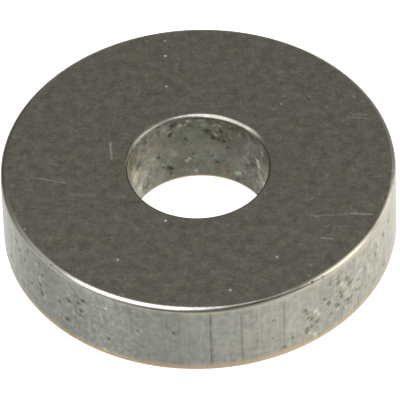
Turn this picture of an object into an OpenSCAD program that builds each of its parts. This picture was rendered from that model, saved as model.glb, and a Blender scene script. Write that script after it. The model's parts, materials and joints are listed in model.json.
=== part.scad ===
// Plain steel spacer ring: a thick washer turned from round bar, with flat
// parallel faces, a straight clearance bore and lightly rounded edges.
// Millimetres, +Z along the bore, origin at the centre of the lower face.

/* [Ring] */
// Diameter of the outer rim
outer_d = 18; // [14:0.1:40]
// Diameter of the bore, a clearance hole for the bolt
bore_d = 6.4; // [3:0.1:10]
// Height between the two flat faces
thickness = 4; // [1.5:0.1:20]

/* [Edges] */
// Rounding of the two outer edges
rim_edge_r = 0.2; // [0.05:0.05:0.5]
// Rounding of the two bore edges
bore_edge_r = 0.2; // [0.05:0.05:0.5]

/* [Hidden] */
$fn = 96;

// dark grey of the bare ground steel
steel_colour = [0.38, 0.37, 0.34];

bore_r = bore_d / 2;
outer_r = outer_d / 2;

// Half section of the ring, from the bore wall to the rim, as a rectangle
// whose inner and outer corners carry their own rounding.
module ring_section() {
    // full-height middle, between the two flat faces
    translate([bore_r + bore_edge_r, 0])
        square([outer_r - rim_edge_r - bore_r - bore_edge_r, thickness]);
    // straight wall of the bore
    translate([bore_r, bore_edge_r])
        square([bore_edge_r, thickness - 2 * bore_edge_r]);
    // straight wall of the rim
    translate([outer_r - rim_edge_r, rim_edge_r])
        square([rim_edge_r, thickness - 2 * rim_edge_r]);
    rounded_edges(bore_r + bore_edge_r, bore_edge_r);
    rounded_edges(outer_r - rim_edge_r, rim_edge_r);
}

// Circles at the lower and upper corners of one wall of the section.
module rounded_edges(centre_r, edge_r) {
    for (height = [edge_r, thickness - edge_r])
        translate([centre_r, height])
            circle(r = edge_r);
}

// The ring itself, one turned solid.
module spacer_ring() {
    color(steel_colour)
        rotate_extrude()
            ring_section();
}

spacer_ring();
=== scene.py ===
# %% [markdown]
# A plain steel spacer ring: a thick washer, cut from drawn bar, ground flat on both faces and drilled.
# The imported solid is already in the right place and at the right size, so this lesson only dresses it.
# We load it as a fixed frame and read every size from it, and from the record that comes with it.
# Typing the sizes in again would also work, but then the two models could drift apart.

# %% Load the frame and read the sizes
import json
import math

import bpy
import numpy as np
from mathutils import Matrix, Vector


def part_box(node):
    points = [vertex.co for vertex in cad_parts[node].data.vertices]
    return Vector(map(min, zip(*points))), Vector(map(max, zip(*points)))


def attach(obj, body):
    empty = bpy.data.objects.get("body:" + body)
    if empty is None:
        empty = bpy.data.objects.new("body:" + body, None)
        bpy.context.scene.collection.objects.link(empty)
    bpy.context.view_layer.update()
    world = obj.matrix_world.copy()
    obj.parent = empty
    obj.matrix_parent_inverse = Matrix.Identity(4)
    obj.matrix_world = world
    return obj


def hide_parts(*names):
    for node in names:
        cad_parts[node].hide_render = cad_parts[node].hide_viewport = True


MM = 0.001

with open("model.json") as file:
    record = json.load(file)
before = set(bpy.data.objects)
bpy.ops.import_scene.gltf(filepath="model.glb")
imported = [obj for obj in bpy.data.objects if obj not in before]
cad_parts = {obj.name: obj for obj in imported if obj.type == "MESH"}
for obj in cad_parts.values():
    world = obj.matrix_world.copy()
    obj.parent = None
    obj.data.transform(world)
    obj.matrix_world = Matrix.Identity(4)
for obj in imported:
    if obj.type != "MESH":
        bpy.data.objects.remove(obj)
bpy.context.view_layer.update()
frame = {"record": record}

low_corner, high_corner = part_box("spacer_ring")
rim_r = (high_corner.x - low_corner.x) / 2
thickness = high_corner.z - low_corner.z

mounts = {mount["name"]: mount for mount in frame["record"]["mounts"]}
bore_r = mounts["bore"]["dims"]["r_mm"] * MM
# what the straight bore wall leaves of the thickness is the rounding at its two ends
edge_r = (thickness - mounts["bore"]["dims"]["length_mm"] * MM) / 2

for label, size in (("rim", rim_r), ("bore", bore_r), ("edges", edge_r)):
    print(f"{label} radius {size / MM:.2f} mm")
print(f"thickness {thickness / MM:.2f} mm")

# %% [markdown]
# The photograph was taken with a long lens from about half way up.
# A camera could be placed by eye, but fitting the two ellipses of the ring gives it almost to the pixel.
# The photographer held the camera a little crooked, so the last turn is a roll about its own axis.

# %% Camera at the photograph's angle
camera_elevation = math.radians(45.66)
camera_roll = math.radians(-1.88)
camera_distance = 311 * MM
camera_lens = 613.4
camera_aim = Vector((0.03 * MM, -0.22 * MM, thickness / 2))

camera_data = bpy.data.cameras.new("camera")
camera_data.lens = camera_lens
camera = bpy.data.objects.new("camera", camera_data)
bpy.context.scene.collection.objects.link(camera)
bpy.context.scene.camera = camera

to_camera = Vector((0, -math.cos(camera_elevation), math.sin(camera_elevation)))
tilt = Matrix.Rotation(math.pi / 2 - camera_elevation, 4, "X")
roll = Matrix.Rotation(camera_roll, 4, "Z")
camera.matrix_world = Matrix.Translation(camera_aim + to_camera * camera_distance) @ tilt @ roll
print("camera at", [round(value / MM) for value in camera.location], "mm")

# %% [markdown]
# Everything below, materials and meshes alike, is made of nodes.
# One small function adds a node, sets what it is told and plugs in what it is given.
# Its inputs are named as in the editor, or numbered where an editor name comes twice.
# A second turns colours to linear light; they are written as sRGB hex, the way a colour picker shows them.
# A third adds patterns up, each with its share, because no real surface is made of one pattern alone.
# Two more find a sector of the ring: the angle of a place, and how near that is to a chosen one.
# Another lays a thin film of oil over a colour, because steel from a workshop is never quite dry.
# The last two begin and end a material, because every finish on this ring ends as bare metal.

# %% Helpers
# nearly all that a noise texture gives lies between these two
NOISE_LOW = 0.35
NOISE_HIGH = 0.65


def add(tree, kind, inputs=None, **settings):
    node = tree.nodes.new(kind)
    for name, value in settings.items():
        setattr(node, name, value)
    for socket, value in (inputs or {}).items():
        if isinstance(value, bpy.types.Node):
            value = next(output for output in value.outputs if output.enabled)
        if isinstance(value, bpy.types.NodeSocket):
            tree.links.new(value, node.inputs[socket])
        else:
            node.inputs[socket].default_value = value
    return node


def colour(code):
    channels = [int(code[place:place + 2], 16) / 255 for place in (0, 2, 4)]
    linear = [c / 12.92 if c <= 0.04045 else ((c + 0.055) / 1.055) ** 2.4 for c in channels]
    return (*linear, 1.0)


def layered(tree, layers):
    total = 0.0
    for pattern, share in layers:
        total = add(tree, "ShaderNodeMath", {0: pattern, 1: share, 2: total}, operation="MULTIPLY_ADD")
    return total


def angle_of(tree, place):
    """The angle of a place round the axis, from the front, positive to the right."""
    axes = add(tree, "ShaderNodeSeparateXYZ", {0: place}).outputs
    front = add(tree, "ShaderNodeMath", {0: axes["Y"], 1: -1.0}, operation="MULTIPLY")
    return add(tree, "ShaderNodeMath", {0: axes["X"], 1: front}, operation="ARCTAN2")


def near_angle(tree, angle, centre, full, none):
    """1 as long as an angle is within full degrees of the centre, fading to 0 at none degrees."""
    off = add(tree, "ShaderNodeMath", {0: angle, 1: math.radians(centre)}, operation="SUBTRACT")
    off = add(tree, "ShaderNodeMath", {0: off, 1: math.pi, 2: -math.pi}, operation="WRAP")
    off = add(tree, "ShaderNodeMath", {0: off}, operation="ABSOLUTE")
    return add(tree, "ShaderNodeMapRange", {
        0: off, 1: math.radians(full), 2: math.radians(none), 3: 1.0, 4: 0.0})


def oiled(tree, steel, place, patch, strength):
    """Tints a steel colour as a thin film of oil does, with a slightly different hue in every patch."""
    film = add(tree, "ShaderNodeTexNoise", {"Vector": place, "Scale": 1 / patch, "Detail": 3.0})
    spread = [strength] * 3
    level = [1 - strength / 2] * 3
    hue = film.outputs["Color"]
    tint = add(tree, "ShaderNodeVectorMath", {0: hue, 1: spread, 2: level}, operation="MULTIPLY_ADD")
    return add(tree, "ShaderNodeVectorMath", {0: steel, 1: tint}, operation="MULTIPLY")


def new_material(name):
    material = bpy.data.materials.new(name)
    material.use_nodes = True
    tree = material.node_tree
    tree.nodes.clear()
    return material, tree


def bare_metal(tree, steel, roughness, relief=None):
    """Ends a material as metal; a relief is given as its pattern, strength and depth."""
    inputs = {"Base Color": steel, "Metallic": 1.0, "Roughness": roughness}
    if relief:
        pattern, strength, depth = relief
        bump = {"Height": pattern, "Strength": strength, "Distance": depth}
        inputs["Normal"] = add(tree, "ShaderNodeBump", bump)
    shader = add(tree, "ShaderNodeBsdfPrincipled", inputs)
    add(tree, "ShaderNodeOutputMaterial", {"Surface": shader})


print("middle grey, written 808080, is", round(colour("808080")[0], 3), "in linear light")

# %% [markdown]
# The two faces were surface ground: a wheel passed over them in straight strokes.
# Years in a parts bin have dulled that to a dark grey, mottled all over, with only a trace of the strokes.
# Its film of oil shifts it a little, olive here and reddish there.
# Scratches could be painted on an image, but a list of places in millimetres keeps them sharp at any size.

# %% Scratches and specks on the upper face
# centre x, centre y and length in mm, turn in degrees, and brightness of each scratch on the upper face
SCRATCHES = [
    (-3.95, 1.15, 1.0, 93, 0.4),
    (-6.8, -0.6, 1.6, -16, 0.22),
    (7.3, -3.38, 0.9, -7, 0.34),
    (5.8, -3.4, 1.6, 2, 0.14),
    (5.7, -4.85, 0.5, -12, 0.36),
    (7.35, 2.75, 0.9, -8, 0.16),
    (7.4, 3.0, 0.8, -10, 0.16),
    (-5.3, -1.6, 1.2, -3, 0.12),
    (5.9, 0.1, 0.6, 0, 0.12),
]
SCRATCH_WIDTH = 0.08 * MM

# place in mm and brightness of each bright speck on the upper face
SPECKS = [
    (-1.35, 7.2, 0.9), (-1.35, 8.2, 0.4), (-1.35, 5.2, 0.6), (-1.55, -3.4, 0.8), (-3.75, -5.75, 0.7),
    (1.25, -7.85, 0.7), (3.4, -5.9, 0.6), (7.25, 4.15, 0.3), (-7.9, -3.65, 0.3), (3.9, 3.8, 0.3),
    (4.9, -6.5, 0.25),
]
SPECK_WIDTH = 0.2 * MM


def face_marks(tree, place, pressure):
    """How bright the marks on the upper face are at a place; the pressure on a scratch came and went."""
    marks = 0.0
    # every scratch is the set of points close to a short line
    for x, y, length, turn, brightness in SCRATCHES:
        local = add(tree, "ShaderNodeMapping", {
            "Vector": place, "Location": (x * MM, y * MM, thickness), "Rotation": (0, 0, math.radians(turn))},
            vector_type="TEXTURE")
        axes = add(tree, "ShaderNodeSeparateXYZ", {0: local}).outputs
        along = add(tree, "ShaderNodeMath", {0: axes["X"]}, operation="ABSOLUTE")
        past = add(tree, "ShaderNodeMath", {0: along, 1: length * MM / 2}, operation="SUBTRACT")
        past = add(tree, "ShaderNodeMath", {0: past, 1: 0.0}, operation="MAXIMUM")
        offset = add(tree, "ShaderNodeCombineXYZ", {0: past, 1: axes["Y"], 2: axes["Z"]})
        gap = add(tree, "ShaderNodeVectorMath", {0: offset}, operation="LENGTH").outputs["Value"]
        line = add(tree, "ShaderNodeMapRange", {0: gap, 1: 0.0, 2: SCRATCH_WIDTH, 3: brightness, 4: 0.0})
        marks = add(tree, "ShaderNodeMath", {0: marks, 1: line}, operation="MAXIMUM")
    marks = add(tree, "ShaderNodeMath", {0: marks, 1: pressure}, operation="MULTIPLY")
    for x, y, brightness in SPECKS:
        centre = (x * MM, y * MM, thickness)
        gap = add(tree, "ShaderNodeVectorMath", {0: place, 1: centre}, operation="DISTANCE").outputs["Value"]
        dot = add(tree, "ShaderNodeMapRange", {0: gap, 1: 0.0, 2: SPECK_WIDTH / 2, 3: brightness, 4: 0.0})
        marks = add(tree, "ShaderNodeMath", {0: marks, 1: dot}, operation="MAXIMUM")
    return marks


print(len(SCRATCHES), "scratches and", len(SPECKS), "specks on the upper face")

# %% [markdown]
# The steel under the marks is three patterns: a fine grain, a coarser mottling and the strokes of the wheel.
# A fourth, left alone but for its highest peaks, gives the few pale flecks.

# %% Surface-ground steel, for the two faces
GRAIN = 0.11 * MM
MOTTLE = 0.5 * MM
FLECK = 0.3 * MM
STROKE_LENGTH = 1.4 * MM
STROKE_WIDTH = 0.09 * MM
OIL_PATCH = 0.4 * MM
FACE_OIL = 0.25
FLECK_SHARE = 0.5
LIGHT_PRESSURE, HARD_PRESSURE = 0.4, 0.8
FACE_RELIEF = 0.004 * MM
FACE_BUMP = 0.3
FACE_ROUGHNESS = 0.42
FACE_DARK, FACE_PALE = "524f48", "6d6a62"
FLECK_GREY = "838078"
FRESH_SCRATCH = "d8d4ca"


def ground_face():
    """Gives the eye a flat dark grey, finely mottled, that glints only where it is scratched."""
    material, tree = new_material("surface_ground_steel")
    place = add(tree, "ShaderNodeTexCoord").outputs["Object"]
    grain = add(tree, "ShaderNodeTexNoise", {"Vector": place, "Scale": 1 / GRAIN, "Detail": 2.0})
    mottle = add(tree, "ShaderNodeTexNoise", {"Vector": place, "Scale": 1 / MOTTLE, "Detail": 3.0})
    stretch = add(tree, "ShaderNodeMapping", {
        "Vector": place, "Scale": (1 / STROKE_LENGTH, 1 / STROKE_WIDTH, 1 / STROKE_LENGTH)})
    strokes = add(tree, "ShaderNodeTexNoise", {"Vector": stretch, "Scale": 1.0, "Detail": 2.0})
    tone = layered(tree, ((grain, 0.44), (mottle, 0.44), (strokes, 0.12)))
    tone = add(tree, "ShaderNodeMapRange", {0: tone, 1: NOISE_LOW, 2: NOISE_HIGH})
    greys = {0: tone, 6: colour(FACE_DARK), 7: colour(FACE_PALE)}
    steel = add(tree, "ShaderNodeMix", greys, data_type="RGBA")
    steel = oiled(tree, steel, place, OIL_PATCH, FACE_OIL)

    flecks = add(tree, "ShaderNodeTexNoise", {"Vector": place, "Scale": 1 / FLECK, "Detail": 1.0})
    flecks = add(tree, "ShaderNodeMapRange", {0: flecks, 1: 0.64, 2: 0.8, 3: 0.0, 4: FLECK_SHARE})
    steel = add(tree, "ShaderNodeMix", {0: flecks, 6: steel, 7: colour(FLECK_GREY)}, data_type="RGBA")
    pressure = add(tree, "ShaderNodeMapRange", {
        0: grain, 1: NOISE_LOW, 2: 0.6, 3: LIGHT_PRESSURE, 4: HARD_PRESSURE})
    marks = face_marks(tree, place, pressure)
    steel = add(tree, "ShaderNodeMix", {0: marks, 6: steel, 7: colour(FRESH_SCRATCH)}, data_type="RGBA")
    bare_metal(tree, steel, FACE_ROUGHNESS, (tone, FACE_BUMP, FACE_RELIEF))
    return material


face_steel = ground_face()
print(face_steel.name, "has", len(face_steel.node_tree.nodes), "nodes")

# %% [markdown]
# The rim is the skin of the bar that the ring was cut from, pulled through a die.
# Small pits stay in it where scale was rolled in, and the die leaves a few deep lines.
# Both are real dents in the mesh, which hands them over as attributes:
# pit is a dent, crowd is the broken skin round it, glint is a painted highlight and die_line is a groove.
# Three functions lay over a steel colour what the finishes share: the marks in their colours,
# the broken skin, and a tan band along the lower edge where the ring stands:
# a painted warm reflection of the paper.

# %% Marks, broken skin and dried oil
SPALL = 0.2 * MM
TAN_TOP = 0.5 * MM
TAN_FULL = 0.18 * MM
TAN_SHARE = 0.6
TAN = "a68f6a"

# two levels of a noise, the greatest share and the colour of the bare flakes and of the dark ones
FLAKES = [(0.52, 0.68, 0.25, "b4b4a8"), (0.48, 0.34, 0.45, "4a4942")]


def marked(tree, steel, marks):
    """Lays the colour of each mark over a steel colour, as far as the mesh has that mark."""
    for name, shown in marks:
        here = add(tree, "ShaderNodeAttribute", attribute_name=name).outputs["Fac"]
        steel = add(tree, "ShaderNodeMix", {0: here, 6: steel, 7: shown}, data_type="RGBA")
    return steel


def spalled(tree, steel, place, least):
    """Breaks a steel colour up where flakes came off: round the pits, or anywhere by a least share."""
    flakes = add(tree, "ShaderNodeTexNoise", {"Vector": place, "Scale": 1 / SPALL, "Detail": 2.0})
    crowd = add(tree, "ShaderNodeAttribute", attribute_name="crowd").outputs["Fac"]
    crowd = add(tree, "ShaderNodeMath", {0: crowd, 1: least}, operation="MAXIMUM")
    for start, end, most, code in FLAKES:
        share = add(tree, "ShaderNodeMapRange", {0: flakes, 1: start, 2: end, 3: 0.0, 4: most})
        share = add(tree, "ShaderNodeMath", {0: share, 1: crowd}, operation="MULTIPLY")
        steel = add(tree, "ShaderNodeMix", {0: share, 6: steel, 7: colour(code)}, data_type="RGBA")
    return steel


def painted_warm_reflection(tree, steel, height):
    """Lays a tan band over a steel colour, from the lower edge up: a painted warm reflection of the paper."""
    tan = add(tree, "ShaderNodeMapRange", {0: height, 1: TAN_FULL, 2: TAN_TOP, 3: TAN_SHARE, 4: 0.0})
    return add(tree, "ShaderNodeMix", {0: tan, 6: steel, 7: colour(TAN)}, data_type="RGBA")


# the tan band that this calls dried oil is a painted warm reflection of the paper
print(f"the dried oil ends {TAN_TOP / MM:.1f} mm above the lower face")

# %% [markdown]
# The die's faint lines are noise, squeezed across the axis and stretched along it, under a softer mottling.
# No die is quite round, so there are broad bands along the axis too.
# The side of the rim towards the light on the right is painted lighter than the rest: painted light.
# Front and back were wiped at some time; the flanks between them kept a mottled skin and a film of olive oil.

# %% Cold-drawn steel, for the rim
DRAW_LENGTH = 2.4 * MM
DRAW_WIDTH = 0.15 * MM
DRAW_BAND = 0.9 * MM
SKIN_MOTTLE = 0.32 * MM
SKIN_GRAIN = 0.13 * MM
OIL_FILM = 0.45 * MM
RIM_OIL = 0.18
FLANK_OIL = 0.35
FLANK_CONTRAST = 0.5
PALE_BAND = 0.22 * MM
PALE_SHARE = 0.18
ROUGH_SHARE = 0.6
RIM_RELIEF = 0.006 * MM
RIM_BUMP = 0.35
RIM_ROUGHNESS = 0.38
DRAWN_DARK, DRAWN_PALE = "5d5f5c", "747673"
# the same greys painted lighter, as painted light on the right side
LIT_SIDE_DARK, LIT_SIDE_PALE = "6b6b67", "868681"
OLIVE = "7f7e62"
PALE_TOP = "b4b196"
SCALED_PIT, LIT_SIDE_PIT = "33322c", "4d4c42"
RIM_GLINT = "b4b5aa"
DIE_LINE_GREY = "3c3b36"

# a sector is its middle, how far from there it is full and where it ends, in degrees from the front
# the side painted lighter, as painted light from the right
LIT_SIDE = (45, 16, 46)
ROUGH_SIDE = (-33, 10, 22)
WIPED_FRONT = (0, 38, 62)
WIPED_BACK = (180, 50, 86)
UNPALED_TOP = (-62, 12, 24)
# the broad bands are sectors too, each with how much of the light it gives back
DRAW_BANDS = [
    (-80, 4, 9, 1.14), (-56, 4, 10, 0.82), (-30, 4, 9, 1.18), (-11, 6, 10, 0.95),
    (2, 3, 7, 1.05), (22, 4, 8, 1.06), (54, 3, 6, 1.06),
]


def drawn_tone(tree, place):
    """Lines along the axis under a softer mottling, as a pattern from 0 to 1."""
    layers = []
    for width, share in ((DRAW_WIDTH, 0.28), (DRAW_BAND, 0.16)):
        squeeze = (1 / width, 1 / width, 1 / DRAW_LENGTH)
        stretch = add(tree, "ShaderNodeMapping", {"Vector": place, "Scale": squeeze})
        lines = add(tree, "ShaderNodeTexNoise", {"Vector": stretch, "Scale": 1.0, "Detail": 3.0})
        layers.append((lines, share))
    for width, share in ((SKIN_MOTTLE, 0.45), (SKIN_GRAIN, 0.11)):
        skin = add(tree, "ShaderNodeTexNoise", {"Vector": place, "Scale": 1 / width, "Detail": 3.0})
        layers.append((skin, share))
    return add(tree, "ShaderNodeMapRange", {0: layered(tree, layers), 1: 0.36, 2: 0.64})


def unwiped(tree, steel, tone, place, angle):
    """Mottles and oils a steel colour on the two flanks."""
    wiped = near_angle(tree, angle, *WIPED_FRONT)
    wiped_back = near_angle(tree, angle, *WIPED_BACK)
    wiped = add(tree, "ShaderNodeMath", {0: wiped, 1: wiped_back}, operation="MAXIMUM")
    flank = add(tree, "ShaderNodeMath", {0: 1.0, 1: wiped}, operation="SUBTRACT")
    mottle = add(tree, "ShaderNodeMath", {0: tone, 1: 0.5}, operation="SUBTRACT")
    mottle = add(tree, "ShaderNodeMath", {0: mottle, 1: flank}, operation="MULTIPLY")
    mottle = add(tree, "ShaderNodeMath", {0: mottle, 1: FLANK_CONTRAST, 2: 1.0}, operation="MULTIPLY_ADD")
    steel = add(tree, "ShaderNodeVectorMath", {0: steel, "Scale": mottle}, operation="SCALE")
    film = add(tree, "ShaderNodeTexNoise", {"Vector": place, "Scale": 1 / OIL_FILM, "Detail": 2.0})
    film = add(tree, "ShaderNodeMapRange", {0: film, 1: 0.45, 2: NOISE_HIGH, 3: 0.0, 4: FLANK_OIL})
    film = add(tree, "ShaderNodeMath", {0: film, 1: flank}, operation="MULTIPLY")
    return add(tree, "ShaderNodeMix", {0: film, 6: steel, 7: colour(OLIVE)}, data_type="RGBA")


def paled_top_band(tree, steel, height, angle):
    """Pales a narrow band at the top of the wall, apart from one sector."""
    below_top = add(tree, "ShaderNodeMath", {0: thickness - edge_r, 1: height}, operation="SUBTRACT")
    pale = add(tree, "ShaderNodeMapRange", {0: below_top, 1: 0.0, 2: PALE_BAND, 3: PALE_SHARE, 4: 0.0})
    missed = near_angle(tree, angle, *UNPALED_TOP)
    missed = add(tree, "ShaderNodeMath", {0: pale, 1: missed}, operation="MULTIPLY")
    pale = add(tree, "ShaderNodeMath", {0: pale, 1: missed}, operation="SUBTRACT")
    return add(tree, "ShaderNodeMix", {0: pale, 6: steel, 7: colour(PALE_TOP)}, data_type="RGBA")


def drawn_rim():
    """Gives the eye a satin grey with lines along the axis, dark pits and painted glints."""
    material, tree = new_material("cold_drawn_steel")
    place = add(tree, "ShaderNodeTexCoord").outputs["Object"]
    height = add(tree, "ShaderNodeSeparateXYZ", {0: place}).outputs["Z"]
    angle = angle_of(tree, place)
    tone = drawn_tone(tree, place)
    drawn = {0: tone, 6: colour(DRAWN_DARK), 7: colour(DRAWN_PALE)}
    drawn = add(tree, "ShaderNodeMix", drawn, data_type="RGBA")
    lit_side_steel = {0: tone, 6: colour(LIT_SIDE_DARK), 7: colour(LIT_SIDE_PALE)}
    lit_side_steel = add(tree, "ShaderNodeMix", lit_side_steel, data_type="RGBA")
    # side is the share of painted light on the right of the rim
    side = near_angle(tree, angle, *LIT_SIDE)
    steel = add(tree, "ShaderNodeMix", {0: side, 6: drawn, 7: lit_side_steel}, data_type="RGBA")
    for centre, full, none, gain in DRAW_BANDS:
        here = near_angle(tree, angle, centre, full, none)
        band = add(tree, "ShaderNodeMapRange", {0: here, 3: 1.0, 4: gain})
        steel = add(tree, "ShaderNodeVectorMath", {0: steel, "Scale": band}, operation="SCALE")
    steel = oiled(tree, steel, place, OIL_FILM, RIM_OIL)
    steel = unwiped(tree, steel, tone, place, angle)
    steel = paled_top_band(tree, steel, height, angle)
    steel = painted_warm_reflection(tree, steel, height)

    rough = near_angle(tree, angle, *ROUGH_SIDE)
    rough = add(tree, "ShaderNodeMath", {0: rough, 1: ROUGH_SHARE}, operation="MULTIPLY")
    steel = spalled(tree, steel, place, rough)
    # on that side the pits are painted paler with it, as painted light
    in_pits = {0: side, 6: colour(SCALED_PIT), 7: colour(LIT_SIDE_PIT)}
    in_pits = add(tree, "ShaderNodeMix", in_pits, data_type="RGBA")
    steel = marked(tree, steel, (
        ("glint", colour(RIM_GLINT)), ("die_line", colour(DIE_LINE_GREY)), ("pit", in_pits)))
    bare_metal(tree, steel, RIM_ROUGHNESS, (tone, RIM_BUMP, RIM_RELIEF))
    return material


rim_steel = drawn_rim()
print(rim_steel.name, "has", len(rim_steel.node_tree.nodes), "nodes")

# %% [markdown]
# The bore was drilled and left as it came: torn in places, with old cutting oil baked on.
# So it is darker and browner than the rim, and blotchy, with painted glints between the pits.
# The stains that can be told apart in the photograph are listed one by one, as the scratches are.

# %% Stains in the bore
SMEAR = 0.22 * MM
SMEAR_BY = 0.25 * MM

# angle from the far side in degrees, height and width in mm, colour and strength of each stain in the bore
BORE_STAINS = [
    # left wall
    (-80, 3.5, 0.9, "9a9060", 0.7), (-72, 3.2, 0.7, "6f6a3c", 0.8), (-65, 3.3, 0.7, "7a7848", 0.7),
    (-62, 2.9, 0.5, "6a6840", 0.7), (-59, 2.5, 0.5, "4b4a2a", 0.8), (-70, 2.6, 0.6, "b0a888", 0.7),
    (-66, 2.0, 0.7, "b8ac90", 0.7), (-57, 2.15, 0.4, "b4b098", 0.7), (-52, 3.4, 0.7, "8d867c", 0.6),
    (-47, 3.3, 0.5, "a09a90", 0.6), (-50, 2.85, 0.7, "7b7252", 0.6), (-36, 2.65, 0.6, "7b734e", 0.5),
    (-57, 1.6, 1.0, "b0a695", 0.5), (-46, 1.4, 1.0, "98968a", 0.4), (-61, 0.9, 0.9, "bdbdb0", 0.6),
    (-50, 0.7, 0.5, "55585c", 0.6), (-40, 2.1, 0.5, "9a9a8c", 0.4), (-33, 0.6, 0.7, "8e8e84", 0.4),
    # far side
    (16, 2.9, 1.4, "3f3a2e", 0.4), (8, 3.0, 0.5, "33301f", 0.4), (13, 2.65, 0.5, "2b2718", 0.4),
    (28, 3.55, 0.8, "4f4632", 0.5), (20, 0.8, 0.9, "5c5240", 0.5), (26, 0.6, 0.5, "6e6248", 0.5),
    # the dark one at 38 degrees, 3.6 mm high, is a painted shadow of the upper edge on the wall
    (12, 1.6, 0.9, "74777a", 0.4), (-20, 1.8, 0.5, "84867a", 0.5), (38, 3.6, 1.2, "302f2c", 0.6),
    # upper end
    (-49, 3.45, 0.35, "4a4034", 0.7), (-41, 3.05, 0.4, "544a34", 0.6), (-30, 3.5, 0.3, "8f8c80", 0.6),
    (-20, 3.65, 0.4, "3a3222", 0.7), (-14, 3.5, 0.3, "a09c8c", 0.6), (-8, 3.35, 0.3, "4a4232", 0.6),
    (20, 3.15, 0.35, "3a3524", 0.6), (23, 3.6, 0.4, "5a4a30", 0.7), (33, 3.4, 0.4, "57482f", 0.6),
    (37, 3.3, 0.3, "8d8878", 0.5), (52, 3.75, 0.4, "2c2b24", 0.7),
    # right wall
    (34, 2.4, 1.6, "524c47", 0.5), (67, 3.5, 0.5, "a3a18c", 0.7), (63, 3.15, 0.4, "8c8a78", 0.6),
    (69, 3.0, 0.6, "33331f", 0.8), (60, 2.9, 0.7, "3c3c2c", 0.7), (60, 2.35, 0.5, "b0af9c", 0.5),
    (53, 2.1, 0.7, "2d2f28", 0.8), (71, 2.4, 0.6, "6e5c50", 0.7), (77, 2.6, 0.5, "8d8650", 0.6),
    (68, 1.95, 0.5, "35330f", 0.8), (62, 1.65, 0.5, "8c8858", 0.6), (66, 1.45, 0.5, "a3a28e", 0.4),
    (47, 1.65, 0.5, "34352e", 0.7), (55, 1.5, 0.5, "3a3b34", 0.6), (50, 0.8, 1.2, "4a4845", 0.5),
    (40, 0.4, 0.7, "42423d", 0.5), (60, 1.0, 0.6, "7a7874", 0.5),
]


def stained(tree, steel, place):
    """Lays the stains over a steel colour."""
    # a stain has no clear outline, so the distance to its middle is taken from a smeared place
    smear = add(tree, "ShaderNodeTexNoise", {"Vector": place, "Scale": 1 / SMEAR, "Detail": 2.0})
    smear = smear.outputs["Color"]
    smear = add(tree, "ShaderNodeVectorMath", {0: smear, 1: [0.5] * 3}, operation="SUBTRACT")
    reach = [SMEAR_BY] * 3
    smeared = add(tree, "ShaderNodeVectorMath", {0: smear, 1: reach, 2: place}, operation="MULTIPLY_ADD")
    for angle, level, width, code, strength in BORE_STAINS:
        turn = math.radians(angle)
        centre = (bore_r * math.sin(turn), bore_r * math.cos(turn), level * MM)
        gap = add(tree, "ShaderNodeVectorMath", {0: smeared, 1: centre}, operation="DISTANCE")
        stain = add(tree, "ShaderNodeMapRange", {
            0: gap.outputs["Value"], 1: 0.2 * width * MM, 2: 0.6 * width * MM, 3: strength, 4: 0.0})
        steel = add(tree, "ShaderNodeMix", {0: stain, 6: steel, 7: colour(code)}, data_type="RGBA")
    return steel


print(len(BORE_STAINS), "stains in the bore")

# %% [markdown]
# The drill wandered from left to right: it tore those two walls more.
# The left wall is painted paler, as painted light from the right.
# It also tore the upper end, where it broke through.
# Tears make steel and stains alike darker and lighter from spot to spot, so they come after the stains.

# %% Drilled steel, for the bore
TEAR = 0.5 * MM
CHATTER = 0.16 * MM
BORE_OIL_PATCH = 0.3 * MM
BORE_OIL = 0.45
BURR_FULL = 0.5 * MM
BURR_END = 1.2 * MM
BURR_SHARE = 0.85
TORN_LEAST = 0.25
TORN_CONTRAST = 2.0
DARKEST_TEAR = 0.4
LIT_WALL_SHARE = 0.42
BORE_RELIEF = 0.02 * MM
BORE_BUMP = 0.3
BORE_ROUGHNESS = 0.46
DRILLED, LIT_WALL = "62625a", "b0aea0"
BORE_GLINT, BORE_PIT = "b9b6a6", "25241b"


def torn_parts(tree, axes):
    """How badly the wall is torn, from 0 to 1, by the X and Z of a place."""
    aside = add(tree, "ShaderNodeMath", {0: axes["X"]}, operation="ABSOLUTE")
    torn = add(tree, "ShaderNodeMapRange", {
        0: aside, 1: 0.55 * bore_r, 2: 0.85 * bore_r, 3: TORN_LEAST, 4: 1.0})
    below_top = add(tree, "ShaderNodeMath", {0: thickness, 1: axes["Z"]}, operation="SUBTRACT")
    burr = add(tree, "ShaderNodeMapRange", {0: below_top, 1: BURR_FULL, 2: BURR_END, 3: BURR_SHARE, 4: 0.0})
    return add(tree, "ShaderNodeMath", {0: torn, 1: burr}, operation="MAXIMUM")


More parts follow.
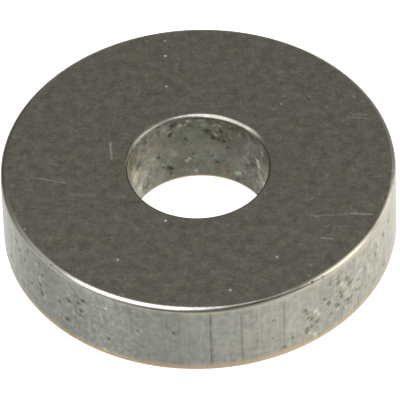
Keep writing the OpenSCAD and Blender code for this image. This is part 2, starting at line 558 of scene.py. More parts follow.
def drilled_bore():
    """Gives the eye an olive grey that is never the same twice."""
    material, tree = new_material("drilled_steel")
    place = add(tree, "ShaderNodeTexCoord").outputs["Object"]
    axes = add(tree, "ShaderNodeSeparateXYZ", {0: place}).outputs
    # the left wall painted paler, as painted light from the right
    lit_wall = add(tree, "ShaderNodeMapRange", {
        0: axes["X"], 1: -bore_r, 2: -0.3 * bore_r, 3: LIT_WALL_SHARE, 4: 0.0})
    steel = add(tree, "ShaderNodeMix", {0: lit_wall, 6: colour(DRILLED), 7: colour(LIT_WALL)}, data_type="RGBA")
    steel = stained(tree, steel, place)

    tears = add(tree, "ShaderNodeTexNoise", {"Vector": place, "Scale": 1 / TEAR, "Detail": 4.0})
    chatter = add(tree, "ShaderNodeTexNoise", {"Vector": place, "Scale": 1 / CHATTER, "Detail": 2.0})
    tone = layered(tree, ((tears, 0.6), (chatter, 0.4)))
    torn = torn_parts(tree, axes)
    depth = add(tree, "ShaderNodeMath", {0: torn, 1: TORN_CONTRAST, 2: 1.0}, operation="MULTIPLY_ADD")
    shade = add(tree, "ShaderNodeMath", {0: tone, 1: 0.5}, operation="SUBTRACT")
    shade = add(tree, "ShaderNodeMath", {0: shade, 1: depth, 2: 1.0}, operation="MULTIPLY_ADD")
    shade = add(tree, "ShaderNodeMath", {0: shade, 1: DARKEST_TEAR}, operation="MAXIMUM")
    steel = add(tree, "ShaderNodeVectorMath", {0: steel, "Scale": shade}, operation="SCALE")
    steel = oiled(tree, steel, place, BORE_OIL_PATCH, BORE_OIL)
    steel = spalled(tree, steel, place, torn)
    steel = marked(tree, steel, (("glint", colour(BORE_GLINT)), ("pit", colour(BORE_PIT))))
    bare_metal(tree, steel, BORE_ROUGHNESS, (tears, BORE_BUMP, BORE_RELIEF))
    return material


bore_steel = drilled_bore()
print(bore_steel.name, "has", len(bore_steel.node_tree.nodes), "nodes")

# %% [markdown]
# The outer edges were broken by tumbling the ring with stones.
# That rubs their crown smooth, next to the face, and leaves their foot dull, next to the wall.
# The edges of the bore were broken with a hand tool, and stayed darker.
# Both draw a thin white line wherever a light is near, as any rounded edge on polished metal does.
# A short stretch of the outer edge is painted dark, streaky along its length:
# painted shade, where the edge mirrors the dim room between the two lights.
# On the left, the outer edge was knocked about in the bin and is rough.
# A dark line of painted shade lies in the foot, at the front of the rim and at the far side of the bore;
# on the left of the bore the foot is painted bright instead, a painted highlight.
# So each edge is one steel with a few sectors that differ, and a function lays one sector over another:
# the sectors are painted light and shade, which brighten or dim each edge's highlight here and there.
# How far a point is up the edge shows in its normal: level at the wall, upright at the face.

# %% Tumbled and hand-broken steel, for the rounded edges
SCUFF = 0.2 * MM
STREAK_LENGTH = 0.9 * MM
STREAK_WIDTH = 0.07 * MM
CROWN_START = 0.42
CROWN_FULL = 0.58

# a sector here is its colour, its middle, full reach and end as above, and the share left in the streaks
# all these sectors are painted light and shade on the edges' highlights
RIM_CROWN_PAINTED_LIGHT = [
    ("b6b3a8", *LIT_SIDE, 1.0), ("4e4d47", 17.5, 9, 22, 0.8),
    ("5c5b55", 10, 2, 4.5, 0.8), ("7a7973", 25.5, 1.5, 4, 1.0),
    ("878680", 62, 1, 12, 1.0), ("76746e", -47, 2, 6, 1.0), ("797771", -57, 6, 14, 1.0),
    ("5f5d57", -95, 22, 38, 1.0),
]
RIM_FOOT_PAINTED_LIGHT = [("94928a", *LIT_SIDE, 1.0), ("504f4c", -5, 9, 38, 1.0)]
BORE_CROWN_PAINTED_LIGHT = [
    ("706e68", -25, 65, 120, 1.0), ("a3a196", 130, 3, 10, 1.0), ("6e6c66", 148, 4, 12, 1.0),
    ("6b695c", -98, 19, 27, 1.0), ("57554b", -109, 5, 11, 1.0), ("66645a", 92, 20, 30, 1.0),
]
BORE_FOOT_PAINTED_LIGHT = [("595855", 160, 20, 55, 1.0), ("e0ddd0", -82, 15, 28, 1.0)]
# the knocked stretch of the outer edge
RIM_KNOCKED = (-65, 12, 22)
KNOCKED_ROUGHNESS = 0.62
FOOT_ROUGHNESS = 0.46
CROWN_ROUGHNESS = 0.27
NICK = "66645c"


def sectors(tree, steel, angle, streaks, parts):
    """Lays the colours of some sectors over a steel colour: painted light and shade."""
    for code, centre, full, none, left in parts:
        here = near_angle(tree, angle, centre, full, none)
        share = add(tree, "ShaderNodeMapRange", {0: streaks, 1: 0.45, 2: 0.62, 3: 1.0, 4: left})
        share = add(tree, "ShaderNodeMath", {0: share, 1: here}, operation="MULTIPLY")
        steel = add(tree, "ShaderNodeMix", {0: share, 6: steel, 7: colour(code)}, data_type="RGBA")
    return steel


def broken_edge(name, dull, bright, bare, crown_parts, foot_parts, knocked=None):
    """Gives the eye a thin bright line, over a dark line of painted shade."""
    material, tree = new_material(name)
    known = add(tree, "ShaderNodeTexCoord").outputs
    place = known["Object"]
    angle = angle_of(tree, place)
    height = add(tree, "ShaderNodeSeparateXYZ", {0: place}).outputs["Z"]
    upright = add(tree, "ShaderNodeSeparateXYZ", {0: known["Normal"]}).outputs["Z"]
    upright = add(tree, "ShaderNodeMath", {0: upright}, operation="ABSOLUTE")

    # streaks follow the edge, so their noise is laid out by angle and height
    along = add(tree, "ShaderNodeMath", {0: angle, 1: rim_r / STREAK_LENGTH}, operation="MULTIPLY")
    across = add(tree, "ShaderNodeMath", {0: height, 1: 1 / STREAK_WIDTH}, operation="MULTIPLY")
    unrolled = add(tree, "ShaderNodeCombineXYZ", {0: along, 1: across})
    streaks = add(tree, "ShaderNodeTexNoise", {"Vector": unrolled, "Scale": 1.0, "Detail": 2.0})
    scuffs = add(tree, "ShaderNodeTexNoise", {"Vector": place, "Scale": 1 / SCUFF, "Detail": 2.0})
    scuffs = add(tree, "ShaderNodeMapRange", {0: scuffs, 1: NOISE_LOW, 2: NOISE_HIGH})
    crown = add(tree, "ShaderNodeMix", {0: scuffs, 6: colour(dull), 7: colour(bright)}, data_type="RGBA")
    crown = sectors(tree, crown, angle, streaks, crown_parts)
    foot = add(tree, "ShaderNodeMix", {0: scuffs, 6: colour(bare), 7: colour(dull)}, data_type="RGBA")
    foot = sectors(tree, foot, angle, streaks, foot_parts)

    on_crown = add(tree, "ShaderNodeMapRange", {0: upright, 1: CROWN_START, 2: CROWN_FULL})
    steel = add(tree, "ShaderNodeMix", {0: on_crown, 6: foot, 7: crown}, data_type="RGBA")
    steel = painted_warm_reflection(tree, steel, height)
    steel = marked(tree, steel, (("pit", colour(NICK)),))
    rough = add(tree, "ShaderNodeMapRange", {0: on_crown, 3: FOOT_ROUGHNESS, 4: CROWN_ROUGHNESS})
    if knocked:
        here = near_angle(tree, angle, *knocked)
        rough = add(tree, "ShaderNodeMapRange", {0: here, 3: rough, 4: KNOCKED_ROUGHNESS})
    bare_metal(tree, steel, rough)
    return material


rim_edge_steel = broken_edge(
    "tumbled_steel", "84827d", "96948f", "8a8982", RIM_CROWN_PAINTED_LIGHT, RIM_FOOT_PAINTED_LIGHT, RIM_KNOCKED)
bore_edge_steel = broken_edge("hand_broken_steel", "74726c", "82807a", "bab8ad", BORE_CROWN_PAINTED_LIGHT, BORE_FOOT_PAINTED_LIGHT)
for edge_steel in (rim_edge_steel, bore_edge_steel):
    print(edge_steel.name, "has", len(edge_steel.node_tree.nodes), "nodes")

# %% [markdown]
# The pits and glints that can be told apart in the photograph are listed as a machinist notes them:
# the angle round the ring from the front, the height above the lower face, and the width.
# Each becomes a loose point of the ring's own starting mesh, and the node tree below presses a dent there.
# Between them the tree scatters smaller ones by itself.

# %% Places of the larger marks
# angle in degrees, positive to the right of the front; height in mm; width in mm
RIM_PITS = [
    (-73.5, 1.15, 0.32), (-67.5, 3.05, 0.24), (-65.5, 2.75, 0.34), (-62, 2.65, 0.24), (-60, 3.5, 0.24),
    (-58.5, 1.55, 0.24), (-54, 3.4, 0.26), (-53.8, 2.1, 0.28), (-53.5, 1.6, 0.34), (-52.5, 2.85, 0.3),
    (-45.5, 2.0, 0.26), (-42.5, 1.15, 0.34), (-41.7, 2.45, 0.32), (-38.4, 2.6, 0.26), (-37.5, 2.2, 0.28),
    (-37.6, 1.9, 0.22), (-36.5, 2.95, 0.36), (-28.3, 1.15, 0.26), (-19, 2.2, 0.2), (-8.8, 2.4, 0.15),
    (20.5, 2.55, 0.15), (20.3, 1.4, 0.13), (26.3, 1.05, 0.19), (30.8, 2.35, 0.28), (31.2, 2.1, 0.22),
    (31.8, 1.85, 0.26), (32.8, 1.65, 0.34), (34.5, 1.3, 0.32), (33.6, 1.45, 0.22), (31.2, 1.15, 0.28),
    (32.6, 1.15, 0.24), (30.9, 0.95, 0.22), (37.5, 2.4, 0.22), (36.4, 2.3, 0.18), (38.9, 2.05, 0.32),
    (41.8, 1.6, 0.24), (42.6, 1.45, 0.28), (42.9, 2.95, 0.34), (42.7, 3.3, 0.24), (43.4, 2.25, 0.28),
    (43.9, 1.95, 0.32), (46.2, 2.8, 0.34), (46.9, 2.6, 0.22), (46.7, 1.35, 0.34), (46.8, 1.1, 0.22),
    (47.6, 2.3, 0.4), (48.4, 1.4, 0.26), (51.5, 2.05, 0.2), (52, 1.4, 0.24), (50.5, 1.6, 0.18),
    (55, 2.4, 0.22), (60.5, 2.45, 0.28), (62, 2.7, 0.2), (66.5, 2.85, 0.32), (66.5, 0.85, 0.3),
    (71.3, 2.95, 0.32), (44.8, 1.1, 0.18), (39.5, 1.3, 0.16), (41.2, 0.8, 0.18),
    # nicks in the upper edge
    (-49.2, 3.92, 0.16), (33.2, 3.92, 0.2), (36.8, 3.9, 0.16),
]
RIM_GLINTS = [
    (-56, 3.15, 0.15), (-54.4, 2.5, 0.2), (-54.2, 2.3, 0.18), (-46.2, 1.05, 0.16), (-28.9, 3.1, 0.2),
    (-30.2, 2.3, 0.14), (34.3, 2.0, 0.34), (35.3, 1.75, 0.26), (44.2, 2.65, 0.3),
    (45.3, 2.4, 0.2), (42.4, 1.25, 0.22), (49, 1.9, 0.2), (34, 0.55, 0.32), (32.2, 0.8, 0.22),
    (62, 3.95, 0.24), (-29.8, 0.35, 0.24),
]
# the same, but the angle is from the far side of the bore
BORE_PITS = [
    (22.5, 2.55, 0.3), (13, 2.7, 0.26), (8, 3.05, 0.24), (20, 3.1, 0.18), (-9.5, 2.6, 0.22), (-23, 3.1, 0.3),
    (-24.5, 0.95, 0.36), (-22, 0.85, 0.24), (-34.5, 1.95, 0.24), (-31, 1.15, 0.18), (-48.5, 0.55, 0.22),
    (26, 3.5, 0.18), (52, 1.9, 0.26), (46, 1.6, 0.18), (66, 1.85, 0.22), (58, 0.8, 0.2), (25.5, 0.6, 0.18),
]
BORE_GLINTS = [
    (15.5, 2.85, 0.2), (-9, 1.15, 0.2), (-7, 1.28, 0.2), (33.5, 0.72, 0.3), (36, 0.82, 0.26),
    (-2, 0.45, 0.24), (-7.8, 3.72, 0.28), (-9.5, 3.5, 0.18),
    (59, 2.2, 0.3), (64.5, 3.2, 0.26), (69, 1.6, 0.26), (-66, 1.9, 0.3),
]


def edge_setback(height):
    """How far a rounded edge lies back from its wall at a height; nothing on the wall itself."""
    into_edge = max(abs(height - thickness / 2) - (thickness / 2 - edge_r), 0.0)
    return edge_r - math.sqrt(edge_r ** 2 - into_edge ** 2)


def mark_points():
    points = []
    for marks, wall_r, outward, is_glint in (
            (RIM_PITS, rim_r, 1, False), (RIM_GLINTS, rim_r, 1, True),
            (BORE_PITS, bore_r, -1, False), (BORE_GLINTS, bore_r, -1, True)):
        for angle, height, width in marks:
            turn = math.radians(angle)
            radius = wall_r - outward * edge_setback(height * MM)
            place = (radius * math.sin(turn), -outward * radius * math.cos(turn), height * MM)
            points.append((place, width * MM, is_glint))
    return points


def ring_start():
    """A mesh of loose points, one for each mark, that carry its width and kind."""
    points = mark_points()
    mesh = bpy.data.meshes.new("ring_body")
    mesh.from_pydata([place for place, width, is_glint in points], [], [])
    widths = mesh.attributes.new("width", "FLOAT", "POINT")
    widths.data.foreach_set("value", [width for place, width, is_glint in points])
    kinds = mesh.attributes.new("is_glint", "BOOLEAN", "POINT")
    kinds.data.foreach_set("value", [is_glint for place, width, is_glint in points])
    ring = bpy.data.objects.new("ring_body", mesh)
    bpy.context.scene.collection.objects.link(ring)
    return ring


ring = ring_start()
print(len(ring.data.vertices), "marks placed by hand")

# %% [markdown]
# A turned part is a section swept round an axis, so the ring is grown with Geometry Nodes.
# The Screw modifier could sweep it too, but it would give the rim and the bore the same number of steps.
# Here each wall has its own circle to follow, with more steps on the rim, and the faces fill the rest.
# The sizes are named inputs of the tree, so the same tree makes any spacer.

# %% Inputs of the ring's node tree
RING_INPUTS = {
    "Rim radius": ("NodeSocketFloat", rim_r),
    "Bore radius": ("NodeSocketFloat", bore_r),
    "Thickness": ("NodeSocketFloat", thickness),
    "Edge radius": ("NodeSocketFloat", edge_r),
    "Face margin": ("NodeSocketFloat", 0.03 * MM),
    "Rim steps": ("NodeSocketInt", 1080),
    "Rim rows": ("NodeSocketInt", 49),
    "Bore steps": ("NodeSocketInt", 360),
    "Bore rows": ("NodeSocketInt", 41),
    "Edge rows": ("NodeSocketInt", 9),
    "Pit seed": ("NodeSocketInt", 4),
}

tree = bpy.data.node_groups.new("turned_ring", "GeometryNodeTree")
tree.interface.new_socket(name="Marks", in_out="INPUT", socket_type="NodeSocketGeometry")
ring_sockets = {}
for name, (kind, value) in RING_INPUTS.items():
    ring_sockets[name] = tree.interface.new_socket(name=name, in_out="INPUT", socket_type=kind)
tree.interface.new_socket(name="Ring", in_out="OUTPUT", socket_type="NodeSocketGeometry")
given = add(tree, "NodeGroupInput").outputs
print(len(ring_sockets), "named inputs")

# %% [markdown]
# Curve to Mesh carries a profile along a path: the profile's X points away from the axis, and its Y down.
# So a profile that runs downwards on the rim, and upwards in the bore, gets faces that look out of the steel.
# Each strip remembers its finish as a number, which picks its material at the end.

# %% Walls, edges and faces
FINISHES = [face_steel, rim_steel, bore_steel, rim_edge_steel, bore_edge_steel]
FACE, RIM, BORE, RIM_EDGE, BORE_EDGE = range(len(FINISHES))
QUARTER = math.pi / 2

down_thickness = add(tree, "ShaderNodeMath", {0: given["Thickness"], 1: -1.0}, operation="MULTIPLY")
down_edge = add(tree, "ShaderNodeMath", {0: given["Edge radius"], 1: -1.0}, operation="MULTIPLY")
upper_centre = add(tree, "ShaderNodeMath", {0: down_thickness, 1: down_edge}, operation="SUBTRACT")
strips = add(tree, "GeometryNodeJoinGeometry")


def sweep(profile, path, finish):
    """Adds the strip that a profile leaves along a path, and returns it."""
    strip = add(tree, "GeometryNodeCurveToMesh", {"Curve": path, "Profile Curve": profile})
    strip = add(tree, "GeometryNodeStoreNamedAttribute", {
        "Geometry": strip, "Name": "finish", "Value": finish}, data_type="INT", domain="FACE")
    tree.links.new(strip.outputs[0], strips.inputs[0])
    return strip


def shell(radius, steps, rows, finish, edge_finish, outward):
    """The wall at one radius with its two rounded edges and a margin of each face; outward is 1 or -1."""
    path = add(tree, "GeometryNodeCurvePrimitiveCircle", {
        "Resolution": given[steps], "Radius": given[radius]})
    inset = add(tree, "ShaderNodeMath", {0: given["Edge radius"], 1: -outward}, operation="MULTIPLY")
    margin = add(tree, "ShaderNodeMath", {0: given["Face margin"], 1: -outward}, operation="MULTIPLY")
    margin_end = add(tree, "ShaderNodeMath", {0: inset, 1: margin}, operation="ADD")

    # wall, from edge to edge
    upper = add(tree, "ShaderNodeCombineXYZ", {"Y": upper_centre})
    lower = add(tree, "ShaderNodeCombineXYZ", {"Y": down_edge})
    ends = {"Start": upper, "End": lower} if outward > 0 else {"Start": lower, "End": upper}
    line = add(tree, "GeometryNodeCurvePrimitiveLine", ends)
    line = add(tree, "GeometryNodeResampleCurve", {"Curve": line, "Count": given[rows]})
    wall = sweep(line, path, finish)

    # two quarter circles, each followed by its margin of the face
    for height, face_height, is_upper in ((upper_centre, down_thickness, True), (down_edge, 0.0, False)):
        start = -QUARTER if is_upper else 0.0
        if outward < 0:
            start = math.pi if is_upper else QUARTER
        arc = add(tree, "GeometryNodeCurveArc", {
            "Resolution": given["Edge rows"], "Radius": given["Edge radius"],
            "Start Angle": start, "Sweep Angle": QUARTER})
        centre = add(tree, "ShaderNodeCombineXYZ", {"X": inset, "Y": height})
        arc = add(tree, "GeometryNodeTransform", {"Geometry": arc, "Translation": centre})
        sweep(arc, path, edge_finish)
        near = add(tree, "ShaderNodeCombineXYZ", {"X": inset, "Y": face_height})
        far = add(tree, "ShaderNodeCombineXYZ", {"X": margin_end, "Y": face_height})
        towards_edge = is_upper == (outward > 0)
        ends = {"Start": far, "End": near} if towards_edge else {"Start": near, "End": far}
        sweep(add(tree, "GeometryNodeCurvePrimitiveLine", ends), path, FACE)

    face_radius = add(tree, "ShaderNodeMath", {0: given[radius], 1: margin_end}, operation="ADD")
    circle = add(tree, "GeometryNodeCurvePrimitiveCircle", {
        "Resolution": given[steps], "Radius": face_radius})
    return wall, circle


rim_wall, rim_circle = shell("Rim radius", "Rim steps", "Rim rows", RIM, RIM_EDGE, 1)
bore_wall, bore_circle = shell("Bore radius", "Bore steps", "Bore rows", BORE, BORE_EDGE, -1)

circles = add(tree, "GeometryNodeJoinGeometry", {0: rim_circle})
tree.links.new(bore_circle.outputs[0], circles.inputs[0])
flat = add(tree, "GeometryNodeFillCurve", {"Curve": circles})
flat = add(tree, "GeometryNodeStoreNamedAttribute", {"Geometry": flat, "Name": "finish", "Value": FACE},
           data_type="INT", domain="FACE")
lift = add(tree, "ShaderNodeCombineXYZ", {"Z": given["Thickness"]})
upper_face = add(tree, "GeometryNodeTransform", {"Geometry": flat, "Translation": lift})
lower_face = add(tree, "GeometryNodeFlipFaces", {"Mesh": flat})
for face in (upper_face, lower_face):
    tree.links.new(face.outputs[0], strips.inputs[0])

WELD = 0.001 * MM
body = add(tree, "GeometryNodeMergeByDistance", {"Geometry": strips, "Distance": WELD})
body = add(tree, "GeometryNodeSetShadeSmooth", {"Geometry": body, "Shade Smooth": True})
print("the section is made of", len(strips.inputs[0].links), "strips")

# %% [markdown]
# Real pits come in crowds, so the scattered ones follow a slow noise, and the rim's front stays nearly clean.
# Then every point of the ring asks for the pit nearest to it, and sinks if it lies within that pit's width.
# A little noise on the question makes the pits ragged, which a round stamp would not be.
# The glints are found in the same way, but they only lighten the colour: painted highlights.

# %% Pits and glints
CROWD = 2.6 * MM
CROWD_START = 0.48
CROWD_FULL = 0.72
CLEAN_FRONT = (0, 14, 35)
# pits on a square metre where they are most crowded
RIM_CROWDING = 1.4e6
BORE_CROWDING = 2.0e6
SMALL_PIT = 0.1 * MM
LARGE_PIT = 0.22 * MM
RAGGED = 0.25 * MM
RAGGED_BY = 0.15 * MM
# how far the floor and the edge of a pit or glint reach, and where its crowd ends, in its own radii
PIT_FLOOR = 0.1
PIT_EDGE = 1.27
CROWD_END = 3.0
PIT_DARK = 0.9
# depth of a pit, as a share of its width
PIT_DEPTH = 0.12
GLINT_SHINE = 0.55

position = add(tree, "GeometryNodeInputPosition")
angle = angle_of(tree, position)
clean_front = near_angle(tree, angle, *CLEAN_FRONT)
crowds = add(tree, "ShaderNodeTexNoise", {"Vector": position, "Scale": 1 / CROWD, "Detail": 2.0})
crowds = add(tree, "ShaderNodeMapRange", {0: crowds, 1: CROWD_START, 2: CROWD_FULL})
pitted = add(tree, "ShaderNodeMath", {0: 1.0, 1: clean_front}, operation="SUBTRACT")
rim_density = add(tree, "ShaderNodeMath", {0: crowds, 1: pitted}, operation="MULTIPLY")

placed = add(tree, "GeometryNodeMeshToPoints", {"Mesh": given["Marks"]})
is_glint = add(tree, "GeometryNodeInputNamedAttribute", {"Name": "is_glint"}, data_type="BOOLEAN")
placed = add(tree, "GeometryNodeSeparateGeometry", {
    "Geometry": placed, "Selection": is_glint}, domain="POINT")
pits = add(tree, "GeometryNodeJoinGeometry", {0: placed.outputs["Inverted"]})
for wall, share, crowding in ((rim_wall, rim_density, RIM_CROWDING), (bore_wall, crowds, BORE_CROWDING)):
    density = add(tree, "ShaderNodeMath", {0: share, 1: crowding}, operation="MULTIPLY")
    scattered = add(tree, "GeometryNodeDistributePointsOnFaces", {
        "Mesh": wall, "Density": density, "Seed": given["Pit seed"]})
    width = add(tree, "FunctionNodeRandomValue", {2: SMALL_PIT, 3: LARGE_PIT, "Seed": given["Pit seed"]})
    scattered = add(tree, "GeometryNodeStoreNamedAttribute", {
        "Geometry": scattered, "Name": "width", "Value": width})
    tree.links.new(scattered.outputs[0], pits.inputs[0])

wobble = add(tree, "ShaderNodeTexNoise", {"Vector": position, "Scale": 1 / RAGGED, "Detail": 2.0})
wobble = wobble.outputs["Color"]
wobble = add(tree, "ShaderNodeVectorMath", {0: wobble, 1: [0.5] * 3}, operation="SUBTRACT")
wobble = add(tree, "ShaderNodeVectorMath", {0: wobble, "Scale": RAGGED_BY}, operation="SCALE")
asked = add(tree, "ShaderNodeVectorMath", {0: position, 1: wobble}, operation="ADD")


def nearest_mark(marks):
    """How far off the nearest mark is, in its own radii, and how wide it is."""
    nearest = add(tree, "GeometryNodeSampleNearest", {
        "Geometry": marks, "Sample Position": asked}, domain="POINT")
    centre = add(tree, "GeometryNodeSampleIndex", {"Geometry": marks, "Value": position, "Index": nearest},
                 data_type="FLOAT_VECTOR")
    width = add(tree, "GeometryNodeInputNamedAttribute", {"Name": "width"}, data_type="FLOAT")
    width = add(tree, "GeometryNodeSampleIndex", {"Geometry": marks, "Value": width, "Index": nearest},
                data_type="FLOAT")
    gap = add(tree, "ShaderNodeVectorMath", {0: asked, 1: centre}, operation="DISTANCE").outputs["Value"]
    radius = add(tree, "ShaderNodeMath", {0: width, 1: 0.5}, operation="MULTIPLY")
    return add(tree, "ShaderNodeMath", {0: gap, 1: radius}, operation="DIVIDE"), width


off_pit, pit_width = nearest_mark(pits)
pit = add(tree, "ShaderNodeMapRange", {0: off_pit, 1: PIT_FLOOR, 2: PIT_EDGE, 3: PIT_DARK, 4: 0.0},
          interpolation_type="SMOOTHSTEP")
pit_depth = add(tree, "ShaderNodeMath", {0: pit_width, 1: PIT_DEPTH}, operation="MULTIPLY")
pit_depth = add(tree, "ShaderNodeMath", {0: pit_depth, 1: pit}, operation="MULTIPLY")
crowd = add(tree, "ShaderNodeMapRange", {0: off_pit, 1: 1.0, 2: CROWD_END, 3: 1.0, 4: 0.0})
off_glint, _ = nearest_mark(placed.outputs["Selection"])
glint = add(tree, "ShaderNodeMapRange", {0: off_glint, 1: PIT_FLOOR, 2: PIT_EDGE, 3: GLINT_SHINE, 4: 0.0},
            interpolation_type="SMOOTHSTEP")
for name, value in (("pit", pit), ("crowd", crowd), ("glint", glint)):
    body = add(tree, "GeometryNodeStoreNamedAttribute", {"Geometry": body, "Name": name, "Value": value})
print(f"a pit {LARGE_PIT / MM} mm wide is {PIT_DEPTH * PIT_DARK * LARGE_PIT / MM:.3f} mm deep")

# %% [markdown]
# A few of the die's lines are deep enough to be grooves of their own, one or two steps of the rim wide.
# None runs evenly from top to bottom, so each has its own reach, and a noise lifts the die here and there.

# %% Die lines
# angle from the front in degrees, lowest and highest point in mm, and strength of each line
DIE_LINES = [
    (2.0, 0.2, 3.75, 0.8), (10.9, 0.3, 3.7, 0.75), (23.6, 0.2, 3.6, 0.6), (-10.5, 2.4, 3.7, 0.55),
    (13.5, 2.2, 3.7, 0.3), (15.3, 2.8, 3.75, 0.4), (26.3, 0.4, 1.6, 0.3), (-24.5, 0.4, 1.4, 0.25),
    (96, 0.2, 3.7, 0.6), (131, 0.3, 3.7, 0.5), (204, 1.2, 3.7, 0.6), (237, 0.2, 2.4, 0.5),
    (251, 0.2, 3.7, 0.4),
]
DIE_LINE_WIDTH = 0.08 * MM
DIE_LINE_DEPTH = 0.012 * MM
DIE_LINE_FADE = 0.4 * MM
DIE_LIFT = 0.5 * MM
DIE_LEAST = 0.35

height = add(tree, "ShaderNodeSeparateXYZ", {0: position}).outputs["Z"]
groove_reach = math.degrees(DIE_LINE_WIDTH / rim_r)
grooves = 0.0
for line_angle, lowest, highest, strength in DIE_LINES:
    groove = near_angle(tree, angle, line_angle, 0, groove_reach)
    groove = add(tree, "ShaderNodeMath", {0: groove, 1: strength}, operation="MULTIPLY")
    middle = (lowest + highest) / 2 * MM
    reach = (highest - lowest) / 2 * MM
    above = add(tree, "ShaderNodeMath", {0: height, 1: middle}, operation="SUBTRACT")
    above = add(tree, "ShaderNodeMath", {0: above}, operation="ABSOLUTE")
    within = add(tree, "ShaderNodeMapRange", {0: above, 1: reach - DIE_LINE_FADE, 2: reach, 3: 1.0, 4: 0.0})
    groove = add(tree, "ShaderNodeMath", {0: groove, 1: within}, operation="MULTIPLY")
    grooves = add(tree, "ShaderNodeMath", {0: grooves, 1: groove}, operation="MAXIMUM")
lift_off = add(tree, "ShaderNodeTexNoise", {"Vector": position, "Scale": 1 / DIE_LIFT, "Detail": 2.0})
lift_off = add(tree, "ShaderNodeMapRange", {0: lift_off, 1: NOISE_LOW, 2: 0.6, 3: DIE_LEAST, 4: 1.0})
grooves = add(tree, "ShaderNodeMath", {0: grooves, 1: lift_off}, operation="MULTIPLY")
finish = add(tree, "GeometryNodeInputNamedAttribute", {"Name": "finish"}, data_type="INT")
on_rim = add(tree, "FunctionNodeCompare", {2: finish, 3: RIM}, data_type="INT", operation="EQUAL")
grooves = add(tree, "ShaderNodeMath", {0: grooves, 1: on_rim}, operation="MULTIPLY")
body = add(tree, "GeometryNodeStoreNamedAttribute", {"Geometry": body, "Name": "die_line", "Value": grooves})

print(len(DIE_LINES), "die lines")

# %% [markdown]
# Now the marks are pressed in, along the normal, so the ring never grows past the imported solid.
# The tree ends by making everything real and giving each finish its material.

# %% Press the marks in and finish the tree
normal = add(tree, "GeometryNodeInputNormal")
groove_depth = add(tree, "ShaderNodeMath", {0: grooves, 1: DIE_LINE_DEPTH}, operation="MULTIPLY")
depth = add(tree, "ShaderNodeMath", {0: pit_depth, 1: groove_depth}, operation="ADD")
inward = add(tree, "ShaderNodeMath", {0: depth, 1: -1.0}, operation="MULTIPLY")
offset = add(tree, "ShaderNodeVectorMath", {0: normal, "Scale": inward}, operation="SCALE")
body = add(tree, "GeometryNodeSetPosition", {"Geometry": body, "Offset": offset})
body = add(tree, "GeometryNodeRealizeInstances", {"Geometry": body})
for number, material in enumerate(FINISHES):
    chosen = add(tree, "FunctionNodeCompare", {2: finish, 3: number}, data_type="INT", operation="EQUAL")
    body = add(tree, "GeometryNodeSetMaterial", {
        "Geometry": body, "Selection": chosen, "Material": material})
add(tree, "NodeGroupOutput", {0: body})
print("the ring's tree has", len(tree.nodes), "nodes")

# %% [markdown]
# The modifier is evaluated once, its result becomes a plain mesh, and the modifier goes.
# A part to be printed or simulated has to be closed, so we count the edges that aren't shared by two faces.

# %% Turn the tree into a plain mesh
grow = ring.modifiers.new("turned_ring", "NODES")
grow.node_group = tree
for name, socket in ring_sockets.items():
    grow[socket.identifier] = RING_INPUTS[name][1]

evaluated = ring.evaluated_get(bpy.context.evaluated_depsgraph_get())
ring_mesh = bpy.data.meshes.new_from_object(evaluated)
# the strips were joined before they had a material, which leaves an empty slot in front
ring_mesh.materials.pop(index=0)
ring.modifiers.clear()
ring.data = ring_mesh
ring_mesh.name = "ring_body"

uses = np.zeros(len(ring_mesh.edges), int)
for loop in ring_mesh.loops:
    uses[loop.edge_index] += 1
triangles = sum(len(face.vertices) - 2 for face in ring_mesh.polygons)
print(f"{triangles} triangles, {int((uses != 2).sum())} open edges, {len(ring_mesh.materials)} materials")

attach(ring, "root")
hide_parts("spacer_ring")

# %% [markdown]
# The stage is a sheet of white paper.
# It is a real surface, so it keeps the ring's soft shadow.
# A little light of its own, for the camera and for reflections, takes the open paper to white
# without putting any more light on the ring.
# From below the paper is see-through, so that the lower face can be looked at too.

# %% Paper floor
FLOOR_RADIUS = 0.7
FLOOR_GAP = 0.02 * MM
FLOOR_STEPS = 64
PAPER_GLOW = 0.85
PAPER_LIT, PAPER_MATT = "fffefa", "9e9d9a"


def paper():
    """Gives the eye an even white sheet with a soft grey shadow."""
    material, tree = new_material("white_paper")
    ray = add(tree, "ShaderNodeLightPath").outputs
    seen = ray["Is Camera Ray"]
    for kind in ("Is Glossy Ray", "Is Transmission Ray"):
        seen = add(tree, "ShaderNodeMath", {0: seen, 1: ray[kind]}, operation="MAXIMUM")
    glow = add(tree, "ShaderNodeMath", {0: seen, 1: PAPER_GLOW}, operation="MULTIPLY")
    shine = add(tree, "ShaderNodeEmission", {"Color": colour(PAPER_LIT), "Strength": glow})
    matt = add(tree, "ShaderNodeBsdfDiffuse", {"Color": colour(PAPER_MATT)})
    front = add(tree, "ShaderNodeAddShader", {0: shine, 1: matt})
    clear = add(tree, "ShaderNodeBsdfTransparent")
    side = add(tree, "ShaderNodeNewGeometry").outputs["Backfacing"]
    sheet = add(tree, "ShaderNodeMixShader", {0: side, 1: front, 2: clear})
    add(tree, "ShaderNodeOutputMaterial", {"Surface": sheet})
    return material


corners = [2 * math.pi * step / FLOOR_STEPS for step in range(FLOOR_STEPS)]
floor_mesh = bpy.data.meshes.new("floor")
floor_mesh.from_pydata(
    [(FLOOR_RADIUS * math.cos(turn), FLOOR_RADIUS * math.sin(turn), -FLOOR_GAP) for turn in corners],
    [], [range(FLOOR_STEPS)])
floor_mesh.materials.append(paper())
floor = bpy.data.objects.new("floor", floor_mesh)
bpy.context.scene.collection.objects.link(floor)
print("floor faces", [round(value) for value in floor_mesh.polygons[0].normal])

# %% [markdown]
# Bare metal shows little but what it reflects, so the light is set up as things to be seen in it:
# a white box at the front left, a dimmer card on the right, and an even room.
# The upper face mirrors the room behind it, the rim mirrors the paper, and the edges catch box and card.
# A small warm lamp close by on the right lights the paper there; the ring doesn't mirror the lamp itself.

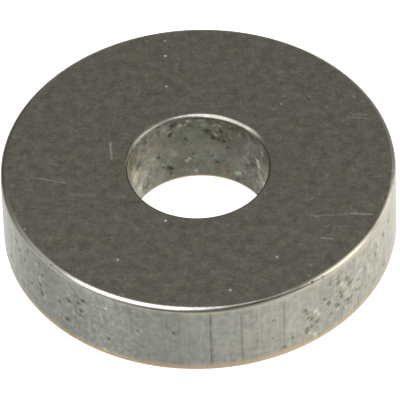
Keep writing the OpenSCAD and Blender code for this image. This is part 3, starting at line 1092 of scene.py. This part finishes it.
# %% Light
# where each light stands, as a direction from the ring; its distance, width and height; radiance and colour;
# and whether metal mirrors it
LIGHTS = {
    "front_left_box": ((-0.38, -0.43, 0.82), 0.25, 0.29, 0.46, 4.2, "ffffff", True),
    "right_card": ((0.85, 0.1, 0.5), 0.3, 0.32, 0.32, 1.9, "fff8ec", True),
    "right_lamp": ((0.85, 0.02, 0.52), 0.06, 0.055, 0.055, 12.0, "fff8ea", False),
}
for name, (direction, distance, width, height, radiance, code, is_mirrored) in LIGHTS.items():
    lamp = bpy.data.lights.new(name, "AREA")
    lamp.shape = "RECTANGLE"
    lamp.size = width
    lamp.size_y = height
    lamp.color = colour(code)[:3]
    lamp.energy = radiance * math.pi * width * height
    light = bpy.data.objects.new(name, lamp)
    towards = Vector(direction).normalized()
    light.location = towards * distance
    light.rotation_euler = towards.to_track_quat("Z", "Y").to_euler()
    light.visible_camera = False
    light.visible_glossy = is_mirrored
    bpy.context.scene.collection.objects.link(light)
    print(name, f"{lamp.energy:.2f} W")

# the room is dim near the floor, and brightest where one looks up steeper than this
ROOM_LOW, ROOM_HIGH = "909090", "d4d3d0"
ROOM_FULL = 0.6
world = bpy.data.worlds.new("room")
world.use_nodes = True
bpy.context.scene.world = world
room = world.node_tree
room.nodes.clear()
direction = add(room, "ShaderNodeTexCoord").outputs["Generated"]
height = add(room, "ShaderNodeSeparateXYZ", {0: direction}).outputs["Z"]
height = add(room, "ShaderNodeMapRange", {0: height, 1: 0.0, 2: ROOM_FULL})
dim = add(room, "ShaderNodeMix", {0: height, 6: colour(ROOM_LOW), 7: colour(ROOM_HIGH)}, data_type="RGBA")
is_camera = add(room, "ShaderNodeLightPath").outputs["Is Camera Ray"]
shown = add(room, "ShaderNodeMix", {0: is_camera, 6: dim, 7: colour("ffffff")}, data_type="RGBA")
background = add(room, "ShaderNodeBackground", {"Color": shown, "Strength": 1.0})
add(room, "ShaderNodeOutputWorld", {"Surface": background})
bpy.context.scene.view_settings.view_transform = "Standard"
